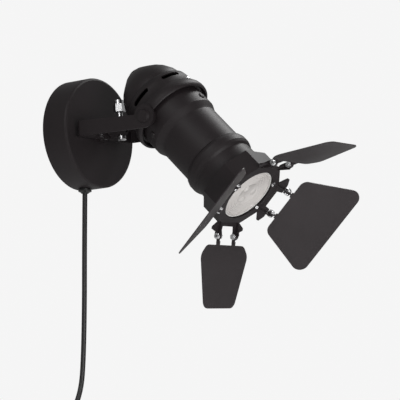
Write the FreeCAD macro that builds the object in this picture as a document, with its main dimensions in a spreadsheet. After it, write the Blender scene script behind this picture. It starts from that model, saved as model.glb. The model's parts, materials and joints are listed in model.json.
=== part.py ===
import FreeCAD, Part
import math
import os
import re
import Sketcher
from FreeCAD import Placement, Rotation, Vector

# Pivoting spotlight wall light, in millimetres. The origin is the centre of the canopy's back
# face on the wall, the wall is the plane y = 0, the lamp reaches towards -Y and +Z is up.
# The head's own frame has its origin at the tilt axis and +Z along the beam.

size = {
    "canopy_radius": 50, "canopy_depth": 26, "canopy_wall": 1.5, "canopy_edge": 2,
    "canopy_hole": 5.2, "rim_hole": 4.6, "rim_hole_y": 9,
    "bracket_width": 18, "bracket_wall": 1.5, "bracket_gap": 0.5,
    "hole_pitch": 60, "slot_pitch": 36, "slot_length": 12, "slot_width": 5, "block_width": 12, "block_deep": 10,
    "block_length": 24, "block_gap": 5, "block_bore": 2, "saddle_length": 8, "cover_screw_radius": 1.5,
    "stem_radius": 5, "stem_bore": 3.4, "stem_back": 9, "stem_reach": 14,
    "nut_across": 14, "nut_thick": 4,
    "spacer_radius": 9.5, "spacer_thick": 4,
    "yoke_wall": 1.8, "yoke_room": 1, "arm_root": 7, "arm_tip": 6, "eye_radius": 10.2,
    "pivot_out": 103.5, "pivot_up": 1.5, "pivot_radius": 3, "pivot_head": 6, "pivot_head_thick": 2.4,
    "washer_radius": 7.5, "swing": 6, "tilt": 47, "axis_lift": 5,
    "clamp_radius": 6.5, "clamp_length": 13, "clamp_grip": 6, "bolt_radius": 2.5, "bolt_ahead": 3.7, "bolt_lean": 7,
    "bolt_above": 27, "bolt_below": 9.6, "lead_way": 2,
    "bolt_nut_across": 9.5, "bolt_nut_thick": 7,
    "cap_wall": 1.4, "cap_apex": 55.8, "cap_out": 1.8, "cap_step_in": 3.2, "dome_in": 7.4,
    "crown_radius": 12, "lip_out": 3.8, "neck_out": 2.7, "shell_radius": 28.9,
    "cap_seat": 0.05, "body_plug": 6, "vent_length": 18, "vent_width": 4.2, "vent_at": 32.5, "vent_count": 8,
    "neck_end": 19, "shell_start": 23.8, "shell_end": 89.5, "bead_out": 2.6, "bead_start": 59,
    "bead_end": 73, "shell_wall": 1.4,
    "bulb_face": 106, "bulb_radius": 25, "bulb_neck": 13.5, "bulb_length": 46, "lens_radius": 24.2,
    "lens_thick": 2, "pin_radius": 1, "pin_pitch": 10, "pin_length": 7, "foot_radius": 2.4,
    "holder_radius": 13, "holder_length": 15, "holder_gap": 0.3, "bridge_width": 12, "bridge_wall": 1.5,
    "frame_room": 2.6, "frame_corner": 16.5, "frame_wall": 1.2, "frame_depth": 21, "frame_at": 107.6,
    "window_radius": 25.6, "frame_gap": 0.1, "ring_wall": 1, "snap_reach": 1.4, "snap_gap": 0.3,
    "hinge_out": 9.5, "hinge_forward": 6, "hinge_half": 13.4, "ear_width": 4.6, "ear_wall": 1.2,
    "lug_slant": 33, "lug_reach": 8.2, "lug_half": 23.5, "lug_root": 15, "lug_notch": 9.5,
    "hinge_pin": 1.4, "hinge_head": 2.8, "hinge_head_thick": 1.6, "hinge_gap": 0.3, "pin_gap": 0.05,
    "flap_wall": 0.8, "side_flap_arm": 5.5, "side_flap_inner": 57, "side_flap_outer": 98,
    "side_flap_length": 52, "end_flap_arm": 7.5, "end_flap_inner": 56, "end_flap_wide": 72,
    "end_flap_outer": 46, "end_flap_length": 54.5, "end_flap_shoulder": 9, "flap_round": 8, "strip_width": 5, "strip_start": 4.2,
    "right_angle": 43, "top_angle": 34, "left_angle": 23, "bottom_angle": 35,
    "cord_diameter": 4.6, "grommet_flange": 6, "grommet_length": 4, "coil_mean": 57, "coil_layers": 4,
    "coil_wide": 2, "coil_z": 296, "cord_y": 13, "tail_x": 12, "tie_gap": 0.5, "tie_width": 8, "tie_wall": 1.2,
    "plug_length": 34, "plug_width": 27, "plug_thick": 13.5, "plug_z": 381, "plug_pin_radius": 2,
    "plug_pin_pitch": 18.6, "plug_pin_length": 19,
}

doc = FreeCAD.newDocument("wall_spotlight")
sheet = doc.addObject("Spreadsheet::Sheet", "sizes")
for row, (alias, number) in enumerate(size.items(), 1):
    sheet.set("A%d" % row, alias)
    sheet.set("B%d" % row, str(number))
    sheet.setAlias("B%d" % row, alias)
doc.recompute()
size = {alias: float(sheet.get(alias)) for alias in size}
parts = []
# radii that follow the barrel's radius
sums = {
    "neck_radius": "shell_radius + neck_out", "cap_radius": "neck_radius + cap_out",
    "cap_step_radius": "cap_radius - cap_step_in", "dome_radius": "cap_radius - dome_in",
    "lip_radius": "cap_radius + lip_out", "yoke_inside": "lip_radius + yoke_room",
    "bead_radius": "shell_radius + bead_out", "frame_half": "shell_radius + frame_room",
    "hinge_radius": "frame_half + hinge_out",
}
X_AXIS, Y_AXIS, Z_AXIS = Vector(1, 0, 0), Vector(0, 1, 0), Vector(0, 0, 1)


def spelled(text):
    """The text with every named sum written out in brackets."""
    while any(re.search(r"\b%s\b" % name, text) for name in sums):
        for name, terms in sums.items():
            text = re.sub(r"\b%s\b" % name, "(%s)" % terms, text)
    return text


def value(text):
    """The number that a sum of products of named sizes comes to."""
    if text in sums:
        return value(sums[text])
    total = 0.0
    for sign, term in re.findall(r"([+-]?)([^+-]+)", str(text).replace(" ", "")):
        product = 1.0
        for factor in term.split("*"):
            product *= value(factor) if factor in sums else size[factor] if factor in size else float(factor)
        total += -product if sign == "-" else product
    return total


def bind(thing, **texts):
    """Binds properties of an object to the sheet."""
    for name, text in texts.items():
        thing.setExpression(name, re.sub(r"[a-z]\w*", r"sizes.\g<0>", spelled(str(text))))
    return thing


def at(x=0, y=0, z=0, turn=None):
    return Placement(Vector(value(x), value(y), value(z)), turn or Rotation())


# Frames of the moving groups, each written in the one before it.
wall = Placement()
swing = Placement(Vector(), Rotation(Y_AXIS, -size["swing"]))
pivot = swing * at(0, "-pivot_out", "pivot_up")
head = pivot * Placement(Vector(), Rotation(X_AXIS, 90 + size["tilt"])) * at(0, "axis_lift")
stem_turn = Rotation(X_AXIS, 90)          # a revolved piece on the canopy's axis points to -Y
along_x = Rotation(Y_AXIS, 90)


def keep(thing, label, frame):
    thing.Label = label
    thing.Placement = frame
    parts.append(thing)
    return thing


def helper(kind, name, place=None, **texts):
    thing = bind(doc.addObject(kind, name), **texts)
    thing.Placement = place or Placement()
    return thing


def cylinder(name, radius, height, place=None):
    return helper("Part::Cylinder", name, place, Radius=radius, Height=height)


def box(name, length, width, height, place=None):
    return helper("Part::Box", name, place, Length=length, Width=width, Height=height)


def hexagon(name, across, height, place=None):
    """A hexagonal prism by its width across flats."""
    thing = helper("Part::Prism", name, place, Height=height, Circumradius="0.57735 * " + across)
    thing.Polygon = 6
    return thing


def cut(name, base, *tools):
    result = base
    for number, tool in enumerate(tools):
        step = doc.addObject("Part::Cut", "%s_%d" % (name, number))
        step.Base, step.Tool, result = result, tool, step
    return result


def fuse(name, *things):
    result = doc.addObject("Part::MultiFuse", name)
    result.Shapes = list(things)
    return result


def group(name, *things):
    result = doc.addObject("Part::Compound", name)
    result.Links = list(things)
    return result


def plane(body, role):
    return [item for item in body.Origin.OriginFeatures if item.Role == role][0]


def outline(body, name, role, points):
    """A closed sketch of straight lines whose corners are bound to the sheet."""
    sketch = body.newObject("Sketcher::SketchObject", name)
    sketch.AttachmentSupport = [(plane(body, role), "")]
    sketch.MapMode = "FlatFace"
    spots = [Vector(value(x), value(y), 0) for x, y in points]
    count = len(spots)
    for number in range(count):
        sketch.addGeometry(Part.LineSegment(spots[number], spots[(number + 1) % count]), False)
    for number in range(count):
        sketch.addConstraint(Sketcher.Constraint("Coincident", number, 2, (number + 1) % count, 1))
    for number, texts in enumerate(points):
        for kind, text in zip(("DistanceX", "DistanceY"), texts):
            index = sketch.addConstraint(Sketcher.Constraint(kind, -1, 1, number, 1, value(text)))
            bind(sketch, **{"Constraints[%d]" % index: text})
    return sketch


def turned(name, points):
    """A body revolved round its own Z axis from a radius and height outline."""
    body = doc.addObject("PartDesign::Body", name)
    sketch = outline(body, name + "_profile", "XZ_Plane", points)
    spin = body.newObject("PartDesign::Revolution", name + "_turn")
    spin.Profile = sketch
    spin.ReferenceAxis = (sketch, ["V_Axis"])
    spin.Angle = 360
    body.Tip = spin
    return body


def padded(body, name, role, points, length, midplane=False):
    sketch = outline(body, name + "_outline", role, points)
    pad = body.newObject("PartDesign::Pad", name)
    pad.Profile = sketch
    bind(pad, Length=length)
    pad.Midplane = midplane
    body.Tip = pad
    return pad


def rounded(body, name, feature, radius, chosen):
    """Rounds the edges of a feature for which chosen(edge) is true."""
    doc.recompute()
    names = ["Edge%d" % number for number, edge in enumerate(feature.Shape.Edges, 1) if chosen(edge)]
    fillet = body.newObject("PartDesign::Fillet", name)
    fillet.Base = (feature, names)
    bind(fillet, Radius=radius)
    body.Tip = fillet
    return fillet


def upright(edge):
    """True for a straight edge along Z."""
    ends = [vertex.Point for vertex in edge.Vertexes]
    return len(ends) == 2 and abs((ends[1] - ends[0]).cross(Z_AXIS).Length) < 1e-6


# ---- canopy on the wall ----

def make_canopy():
    shell = turned("canopy_shell", [
        ("canopy_radius", 0), ("canopy_radius", "canopy_depth - canopy_edge"),
        ("canopy_radius - 0.3 * canopy_edge", "canopy_depth - 0.3 * canopy_edge"),
        ("canopy_radius - canopy_edge", "canopy_depth"),
        ("canopy_hole", "canopy_depth"), ("canopy_hole", "canopy_depth - canopy_wall"),
        ("canopy_radius - canopy_edge - canopy_wall", "canopy_depth - canopy_wall"),
        ("canopy_radius - canopy_wall", "canopy_depth - canopy_edge - canopy_wall"),
        ("canopy_radius - canopy_wall", 0)])
    shell.Placement = Placement(Vector(), stem_turn)
    cord_way = cylinder("cord_way", "rim_hole", "2 * grommet_length",
                        at(0, "-rim_hole_y", "-canopy_radius - grommet_length"))
    screw_way = cylinder("screw_way", "cover_screw_radius", "3 * canopy_wall",
                         at(0, "-rim_hole_y", "canopy_radius - 2 * canopy_wall"))
    keep(cut("canopy_cover_cut", shell, cord_way, screw_way), "canopy_cover", wall)


def make_bracket():
    """A strap on the wall with two screw holes, two slots and an ear for the cover's screw."""
    strap = box("strap", "bracket_width", "bracket_wall",
                "2 * canopy_radius - 2 * canopy_wall - 2 * bracket_gap - 2 * bracket_wall")
    strap.Placement = at("-0.5 * bracket_width", "-bracket_wall",
                         "-canopy_radius + canopy_wall + bracket_gap + bracket_wall")
    ear = box("ear", "bracket_width", "rim_hole_y + bracket_width * 0.4", "bracket_wall",
              at("-0.5 * bracket_width", "-rim_hole_y - bracket_width * 0.4",
                 "canopy_radius - canopy_wall - bracket_gap - 2 * bracket_wall"))
    tools = [cylinder("ear_hole", "cover_screw_radius", "4 * bracket_wall",
                      at(0, "-rim_hole_y", "canopy_radius - canopy_wall - 3 * bracket_wall"))]
    for side in (-1, 1):
        tools.append(cylinder("wall_hole", "0.5 * slot_width", "4 * bracket_wall", at(
            0, "2 * bracket_wall", "%s * hole_pitch" % (0.5 * side), stem_turn)))
        middle = box("slot_middle", "slot_length - slot_width", "4 * bracket_wall", "slot_width")
        middle.Placement = at("-0.5 * slot_length + 0.5 * slot_width", "-2 * bracket_wall",
                              "%s * slot_pitch - 0.5 * slot_width" % (0.5 * side))
        tools.append(middle)
        for end in (-1, 1):
            tools.append(cylinder("slot_end", "0.5 * slot_width", "4 * bracket_wall", at(
                "%s * slot_length - %s * slot_width" % (0.5 * end, 0.5 * end), "2 * bracket_wall",
                "%s * slot_pitch" % (0.5 * side), stem_turn)))
    keep(cut("wall_bracket_cut", fuse("bracket_strap", strap, ear), *tools), "wall_bracket", wall)
    post = cylinder("post", "stem_radius + 2", "canopy_depth - canopy_wall - nut_thick - bracket_wall",
                    at(0, "-bracket_wall", 0, stem_turn))
    post_bore = cylinder("post_bore", "stem_radius + pin_gap", "canopy_depth",
                         at(0, "-bracket_wall - 2", 0, stem_turn))
    keep(cut("stem_post_cut", post, post_bore), "stem_post", wall)
    shank = cylinder("cover_screw_shank", "cover_screw_radius - pin_gap", "4 * canopy_wall",
                     at(0, "-rim_hole_y", "canopy_radius - 4 * canopy_wall"))
    top = cylinder("cover_screw_top", "2 * cover_screw_radius", "canopy_wall",
                   at(0, "-rim_hole_y", "canopy_radius"))
    keep(fuse("cover_screw_whole", shank, top), "cover_screw", wall)


def make_wiring():
    """The terminal block and the cord clamp on the bracket, beside the stem."""
    block = box("block_body", "block_width", "block_deep", "block_length",
                at("0.5 * bracket_width + block_gap", "-bracket_wall - block_deep", "-0.5 * block_length"))
    ways = [cylinder("block_way", "block_bore", "2 * block_width", at(
        "0.5 * bracket_width", "-bracket_wall - 0.5 * block_deep", "%s * block_length" % share, along_x))
        for share in (-0.25, 0.25)]
    arm = box("block_arm", "block_gap + 0.5 * block_width", "bracket_wall", "0.4 * block_length",
              at("0.5 * bracket_width", "-bracket_wall", "-0.2 * block_length"))
    keep(fuse("block_whole", cut("block", block, *ways), arm), "terminal_block", wall)
    saddle = box("saddle", "bracket_width + block_gap", "rim_hole_y + cord_diameter - bracket_wall", "saddle_length",
                 at("-0.5 * bracket_width - 0.5 * block_gap", "-rim_hole_y - cord_diameter",
                    "-canopy_radius + 1.5 * saddle_length"))
    groove = cylinder("saddle_way", "0.5 * cord_diameter", "2 * saddle_length",
                      at(0, "-rim_hole_y", "-canopy_radius + saddle_length"))
    keep(cut("saddle_cut", saddle, groove), "cord_clamp", wall)


def make_stem():
    """The hollow threaded stem, its nuts, the spacer and the clamp with its long bolt."""
    length = "canopy_depth - stem_back + spacer_thick + yoke_wall + stem_reach"
    tube = cylinder("stem_tube", "stem_radius", length, at(0, "-stem_back", 0, stem_turn))
    bore = cylinder("stem_bore_way", "stem_bore", "2 * " + length.split(" - ")[0] + " + 2 * stem_reach",
                    at(0, 0, 0, stem_turn))
    keep(cut("stem_cut", tube, bore), "stem", wall)
    spacer = cylinder("spacer_disc", "spacer_radius", "spacer_thick", at(0, "-canopy_depth", 0, stem_turn))
    face = "-canopy_depth - spacer_thick - yoke_wall"
    spots = (("inner_nut", "-canopy_depth + canopy_wall + nut_thick"), ("lock_nut", face + " - 1"))
    hole = cylinder("spacer_hole", "stem_radius", "2 * spacer_thick", at(0, "-canopy_depth", 0, stem_turn))
    keep(cut("spacer_cut", spacer, hole), "yoke_spacer", wall)
    for label, place in spots:
        nut = hexagon(label + "_hex", "nut_across", "nut_thick", at(0, place, 0, stem_turn))
        way = cylinder(label + "_way", "stem_radius", "2 * nut_thick", at(0, place, 0, stem_turn))
        keep(cut(label + "_cut", nut, way), label, wall)
    disc = cylinder("washer_disc", "washer_radius", 1, at(0, face, 0, stem_turn))
    way = cylinder("washer_way", "stem_radius", 2, at(0, face, 0, stem_turn))
    keep(cut("washer_cut", disc, way), "lock_washer", wall)
    stem_end = "-canopy_depth - spacer_thick - yoke_wall - stem_reach"
    bolt_y = stem_end + " - bolt_ahead"
    back = stem_end + " + clamp_grip"
    lean = at(0, bolt_y, 0, Rotation(X_AXIS, -size["bolt_lean"]))
    drum = cylinder("clamp_drum", "clamp_radius", "clamp_length", at(0, back, 0, stem_turn))
    stem_way = cylinder("clamp_stem_way", "stem_radius", "clamp_grip", at(0, back, 0, stem_turn))
    bolt_way = cylinder("clamp_bolt_way", "bolt_radius", "4 * clamp_radius", lean * at(0, 0, "-2 * clamp_radius"))
    lead_way = cylinder("clamp_lead_way", "lead_way", "4 * clamp_radius", at("bolt_radius + lead_way - 0.6", back, 0, stem_turn))
    keep(cut("clamp_cut", drum, stem_way, bolt_way, lead_way), "cable_clamp", wall)
    shank = cylinder("clamp_bolt_shank", "bolt_radius", "bolt_above + bolt_below", lean * at(0, 0, "-bolt_below"))
    tip = cylinder("clamp_bolt_tip", "1.5 * bolt_radius", "bolt_below - clamp_radius - pin_gap", lean * at(0, 0, "-bolt_below"))
    keep(fuse("clamp_bolt_whole", shank, tip), "clamp_bolt", wall)
    nut = hexagon("clamp_nut_hex", "bolt_nut_across", "bolt_nut_thick", lean * at(0, 0, "bolt_above - bolt_nut_thick - 4"))
    cap = cylinder("clamp_nut_cap", "0.46 * bolt_nut_across", "bolt_nut_thick", lean * at(0, 0, "bolt_above - bolt_nut_thick"))
    way = cylinder("clamp_nut_way", "bolt_radius", "bolt_above", lean)
    keep(cut("clamp_nut_cut", fuse("clamp_nut_whole", nut, cap), way), "clamp_nut", wall)


# ---- yoke ----

def make_yoke():
    """One bent strap: the side outline across the whole width, hollowed between the arms."""
    body = doc.addObject("PartDesign::Body", "yoke_strap")
    back = "canopy_depth + spacer_thick"
    side = padded(body, "yoke_side", "YZ_Plane", [
        ("-" + back.replace("+", "-"), "-arm_root"), ("-pivot_out", "pivot_up - eye_radius"),
        ("-pivot_out", "pivot_up - eye_radius + 2 * arm_tip"), ("-" + back.replace("+", "-"), "arm_root")],
        "2 * yoke_inside + 2 * yoke_wall", midplane=True)
    rounded(body, "yoke_bend", side, "2 * yoke_wall", lambda edge: upright(edge) and
            edge.Vertexes[0].Point.y > -2 * size["canopy_depth"])
    gap = box("yoke_gap", "2 * yoke_inside", "pivot_out", "6 * arm_root",
              at("-yoke_inside", "-canopy_depth - spacer_thick - yoke_wall - pivot_out", "-3 * arm_root"))
    eyes = []
    for number in (-1, 1):
        start = "-yoke_inside - yoke_wall" if number < 0 else "yoke_inside"
        eyes.append(cylinder("yoke_eye", "eye_radius", "yoke_wall", at(start, "-pivot_out", "pivot_up", along_x)))
    pins = cylinder("yoke_pin_way", "pivot_radius + pin_gap", "4 * yoke_inside",
                    at("-2 * yoke_inside", "-pivot_out", "pivot_up", along_x))
    hole = cylinder("yoke_stem_way", "stem_radius + pin_gap", "4 * spacer_thick",
                    at(0, "-canopy_depth", 0, stem_turn))
    arms = cut("yoke_arms", body, gap)
    whole = cut("yoke_cut", fuse("yoke_whole", arms, *eyes), pins, hole)
    keep(whole, "yoke", swing)


def make_pivots():
    """The two screws that the head tilts on, with a spring washer between arm and head."""
    screws = []
    for side in (-1, 1):
        turn = Rotation(Y_AXIS, 90 * side)
        shank = cylinder("pivot_shank", "pivot_radius", "yoke_wall + 6",
                         Placement(Vector(side * (value("yoke_inside") - 6), 0, 0), turn))
        cap = helper("Part::Cone", "pivot_cap", Radius1="pivot_head", Radius2="0.8 * pivot_head",
                     Height="pivot_head_thick")
        cap.Placement = Placement(Vector(side * (value("yoke_inside") + size["yoke_wall"]), 0, 0), turn)
        screws.append(fuse("pivot_screw", shank, cap))
    keep(group("pivot_pair", *screws), "pivot_screws", pivot)


# ---- head ----

def make_cap():
    """The domed rear cap: shoulder step, rolled lip, vent slots round the dome and a socket on
    each side for the pivot screws."""
    w = "cap_wall"
    # heights as shares of the cap's depth behind the tilt axis
    step, waist = "cap_step_radius", "cap_radius - 0.7"
    outer = [("0", "-cap_apex"), ("crown_radius", "-0.97 * cap_apex"), ("dome_radius - 7", "-0.85 * cap_apex"),
             ("dome_radius", "-0.7 * cap_apex"), (step + " - 0.8", "-0.57 * cap_apex"),
             (step, "-0.49 * cap_apex"), (step, "-0.455 * cap_apex"), (waist, "-0.405 * cap_apex"),
             ("cap_radius", "-0.32 * cap_apex"), ("cap_radius", "-0.19 * cap_apex"),
             ("lip_radius - 1.7", "-0.14 * cap_apex"), ("lip_radius", "-0.05 * cap_apex"),
             ("lip_radius - 0.8", "1.4"), ("neck_radius + cap_seat", "0.11 * cap_apex")]
    inner = [("neck_radius + cap_seat", "-body_plug"), ("cap_radius - " + w, "-0.18 * cap_apex"),
             ("cap_radius - " + w, "-0.32 * cap_apex"), (waist + " - " + w, "-0.385 * cap_apex"),
             (step + " - " + w, "-0.435 * cap_apex"), (step + " - 1 - " + w, "-0.56 * cap_apex"),
             ("dome_radius - " + w, "-0.68 * cap_apex"), ("dome_radius - 7.8", "-0.825 * cap_apex"),
             ("crown_radius - 0.3", "-0.943 * cap_apex"), ("0", "-cap_apex + " + w)]
    shell = turned("cap_shell", outer + inner)
    sockets = []
    lift = "-axis_lift"
    for side in (-1, 1):
        start = value("lip_radius") - 5
        socket = cylinder("cap_socket", "washer_radius", "yoke_inside - hinge_gap - lip_radius + 5")
        socket.Placement = Placement(Vector(side * start, value(lift), 0), Rotation(Y_AXIS, 90 * side))
        sockets.append(socket)
    core = cylinder("cap_core", "neck_radius + cap_seat", "3 * body_plug", at(0, 0, "-body_plug"))
    way = cylinder("cap_pin_way", "pivot_radius", "4 * yoke_inside", at("-2 * yoke_inside", lift, 0, along_x))
    vents = []
    for number in range(int(size["vent_count"])):
        # a rounded slot across the shoulder of the dome, its length round the axis
        turn = 360.0 * (number + 0.5) / size["vent_count"]
        slot = box("vent", "12", "vent_length", "vent_width")
        slot.Placement = Placement(Vector(), Rotation(Z_AXIS, turn)) * at(
            "dome_radius - 7", "-0.5 * vent_length", "-vent_at - 0.5 * vent_width")
        vents.append(slot)
    lead_way = cylinder("cap_lead_way", "4", "20", at(0, 0, "-cap_apex - 5"))
    whole = fuse("cap_whole", shell, *[cut("cap_socket_cut", socket, core) for socket in sockets])
    keep(cut("cap_cut", whole, way, lead_way, *vents), "rear_cap", head)
    tube = turned("lead_grommet_body", [
        ("2.6", "-cap_apex - 2.5"), ("6", "-cap_apex - 2.5"), ("6", "-cap_apex"), ("4", "-cap_apex"),
        ("4", "-cap_apex + 4"), ("2.6", "-cap_apex + 4")])
    keep(tube, "lead_grommet", head)
    screws = []
    for turn in (90, 210, 330):
        spot = Placement(Vector(), Rotation(Z_AXIS, turn))
        shank = cylinder("cap_screw_shank", 1.5, 4, spot * at("neck_radius - 2", 0, 11, along_x))
        top = cylinder("cap_screw_top", 3, 2.2, spot * at("neck_radius", 0, 11, along_x))
        screws.append(fuse("cap_screw", shank, top))
    keep(group("cap_screw_set", *screws), "cap_screws", head)


def make_body():
    """The turned lamp body: a collar that plugs into the cap, a shoulder, the barrel and its bead."""
    w = "shell_wall"
    outer = [("neck_radius", "-body_plug"), ("neck_radius", "neck_end - 2"), ("neck_radius - 0.8", "neck_end"),
             ("shell_radius + 0.5", "shell_start - 1.5"), ("shell_radius", "shell_start"),
             ("shell_radius", "bead_start"), ("bead_radius - 0.8", "bead_start + 2"),
             ("bead_radius", "bead_start + 4.5"), ("bead_radius", "bead_end - 4.5"),
             ("bead_radius - 0.8", "bead_end - 2"), ("shell_radius", "bead_end"),
             ("shell_radius", "shell_end")]
    inner = [("shell_radius - " + w, "shell_end"), ("shell_radius - " + w, "bead_end"),
             ("bead_radius - " + w, "bead_end - 4"), ("bead_radius - " + w, "bead_start + 4"),
             ("shell_radius - " + w, "bead_start"), ("shell_radius - " + w, "shell_start"),
             ("neck_radius - " + w, "neck_end - 2"), ("neck_radius - " + w, "-body_plug")]
    shell = turned("body_shell", outer + inner)
    tools = []
    for turn in (90, 210, 330):
        tools.append(cylinder("body_screw_way", 1.5, 10, Placement(Vector(), Rotation(Z_AXIS, turn)) *
                              at("neck_radius - 5", 0, 11, along_x)))
    pins = cylinder("body_pin_way", "pivot_radius + 0.2", "4 * yoke_inside",
                    at("-2 * yoke_inside", "-axis_lift", 0, along_x))
    keep(cut("body_cut", shell, pins, *tools), "lamp_body", head)


def make_lamp():
    """Lampholder on its bridge, and the reflector bulb with its face, pins and feet."""
    back = "bulb_face - bulb_length"
    seat = back + " - holder_gap"
    holder = cylinder("holder_drum", "holder_radius", "holder_length", at(0, 0, seat + " - holder_length"))
    tools = []
    for side in (-1, 1):
        tools.append(cylinder("holder_way", "foot_radius + holder_gap", "pin_length + 1",
                              at("%s * pin_pitch" % (0.5 * side), 0, seat + " - pin_length - 0.5")))
    keep(cut("holder_cut", holder, *tools), "lampholder", head)
    bridge = box("bridge_bar", "2 * shell_radius - 2 * shell_wall", "bridge_width", "bridge_wall",
                 at("-shell_radius + shell_wall", "-0.5 * bridge_width",
                    seat + " - holder_length - bridge_wall"))
    inside = cylinder("bridge_inside", "shell_radius - shell_wall", "20", at(0, 0, seat + " - holder_length - 10"))
    trimmed = doc.addObject("Part::Common", "bridge_trim")
    trimmed.Base, trimmed.Tool = bridge, inside
    way = cylinder("bridge_way", 4, 10, at(0, 0, seat + " - holder_length - 5"))
    keep(cut("bridge_cut", trimmed, way), "holder_bridge", head)
    bulb = turned("bulb_glass", [
        ("0", back), ("bulb_neck - 1", back), ("bulb_neck", back + " + 2"), ("bulb_neck", back + " + 14"),
        ("bulb_neck + 4", back + " + 21"), ("bulb_radius - 2", back + " + 34"),
        ("bulb_radius", back + " + 41"), ("bulb_radius", "bulb_face"),
        ("lens_radius", "bulb_face"), ("lens_radius", "bulb_face - lens_thick"), ("0", "bulb_face - lens_thick")])
    keep(bulb, "bulb_body", head)
    lens = turned("bulb_front", [
        ("0", "bulb_face - lens_thick"), ("lens_radius", "bulb_face - lens_thick"),
        ("lens_radius", "bulb_face - 0.8"), ("0.62 * lens_radius", "bulb_face - 0.3"), ("0", "bulb_face - 0.1")])
    keep(lens, "bulb_lens", head)
    pins = []
    for side in (-1, 1):
        spot = "%s * pin_pitch" % (0.5 * side)
        pins.append(fuse("bulb_pin", cylinder("pin_stalk", "pin_radius + 0.5", "pin_length - 2",
                                              at(spot, 0, back + " - pin_length + 2")),
                         cylinder("pin_foot", "foot_radius", "2", at(spot, 0, back + " - pin_length"))))
    keep(group("bulb_pin_pair", *pins), "bulb_pins", head)


# ---- barn door frame and flaps ----

def opposite(text):
    """The same sum with every sign turned."""
    return ("-" + text).replace(" - ", " # ").replace(" + ", " - ").replace(" # ", " + ")


def octagon(far, near):
    """Corner points of a square with cut corners."""
    left, low = opposite(far), opposite(near)
    return [(far, low), (far, near), (near, far), (low, far), (left, near), (left, low), (low, left), (near, left)]


quarter = [("flap_right", 0, "side", "right_angle"), ("flap_top", 90, "end", "top_angle"),
           ("flap_left", 180, "side", "left_angle"), ("flap_bottom", 270, "end", "bottom_angle")]


def make_frame():
    """The octagonal tray with its round window, two hinge ears on each side, and its clips."""
    tray = doc.addObject("PartDesign::Body", "frame_tray")
    padded(tray, "frame_tray_pad", "XY_Plane", octagon("frame_half", "frame_half - frame_corner"), "frame_depth")
    tray.Placement = at(0, 0, "frame_at - frame_depth")
    hollow = doc.addObject("PartDesign::Body", "frame_hollow")
    padded(hollow, "frame_hollow_pad", "XY_Plane", octagon(
        "frame_half - frame_wall", "frame_half - frame_corner - 0.4 * frame_wall"), "frame_depth")
    hollow.Placement = at(0, 0, "frame_at - frame_depth - frame_wall")
    window = cylinder("frame_window", "window_radius", "frame_depth", at(0, 0, "frame_at - 0.5 * frame_depth"))
    shell = cut("frame_shell", tray, hollow, window)
    ears = []
    for label, turn, kind, angle in quarter:
        side_frame = Placement(Vector(), Rotation(Z_AXIS, turn))
        # the side carries on as a sloping plate with a notch between its two lugs
        lugs = doc.addObject("PartDesign::Body", label + "_lugs")
        half = [("-ear_wall", "lug_root"), ("0.5 * lug_reach", "lug_half"), ("0.75 * lug_reach", "lug_half"),
                ("lug_reach", "hinge_half + ear_width"),
                ("lug_reach", "lug_notch"), ("0.4 * lug_reach", "lug_notch - 1")]
        padded(lugs, label + "_lugs_pad", "XY_Plane",
               half + [(x, opposite(y)) for x, y in reversed(half)], "ear_wall", midplane=True)
        lugs.Placement = side_frame * at("frame_half - 0.5 * ear_wall", 0, "frame_at - 0.5 * ear_wall",
                                         Rotation(Y_AXIS, -size["lug_slant"]))
        ears.append(lugs)
        for side in (-1, 1):
            outer_face = "%s * hinge_half" % side
            ear = doc.addObject("PartDesign::Body", label + "_ear")
            padded(ear, label + "_ear_pad", "XZ_Plane", [
                ("frame_half - 2", "frame_at - ear_wall"), ("frame_half - 2", "frame_at"),
                ("hinge_radius - ear_width + 1", "frame_at + hinge_forward + 0.5 * ear_width"),
                ("hinge_radius + 0.5 * ear_width", "frame_at + hinge_forward + 0.5 * ear_width"),
                ("hinge_radius + 0.5 * ear_width", "frame_at + hinge_forward - 0.5 * ear_width"),
                ("frame_half + 3", "frame_at - ear_wall")], "ear_wall", midplane=True)
            ear.Placement = side_frame * at(0, outer_face, 0)
            way = cylinder(label + "_ear_way", "hinge_pin", "4 * ear_width", side_frame * at(
                "hinge_radius", "%s * hinge_half" % side, "frame_at + hinge_forward", Rotation(X_AXIS, 90)))
            way.Placement = way.Placement * Placement(Vector(0, 0, -2 * size["ear_width"]), Rotation())
            ears.append(cut(label + "_ear_cut", ear, way))
    keep(fuse("frame_whole", shell, *ears), "barn_door_frame", head)
    disc = cylinder("ring_disc", "frame_half - frame_wall", "ring_wall", at(0, 0, "frame_at - frame_depth"))
    hole = cylinder("ring_hole", "shell_radius + frame_gap", "4 * ring_wall",
                    at(0, 0, "frame_at - frame_depth - 2 * ring_wall"))
    keep(cut("ring_cut", disc, hole), "frame_back_ring", head)
    seat = "frame_at - frame_depth + ring_wall + snap_gap"
    snap = cylinder("snap_disc", "shell_radius + snap_reach", "ring_wall", at(0, 0, seat))
    hole = cylinder("snap_hole", "shell_radius", "4 * ring_wall", at(0, 0, seat + " - 2 * ring_wall"))
    split = box("snap_split", "2 * snap_reach", "2 * snap_reach", "4 * ring_wall",
                at("shell_radius - snap_gap", "-snap_reach", seat + " - 2 * ring_wall"))
    keep(cut("snap_cut", snap, hole, split), "snap_ring", head)


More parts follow.
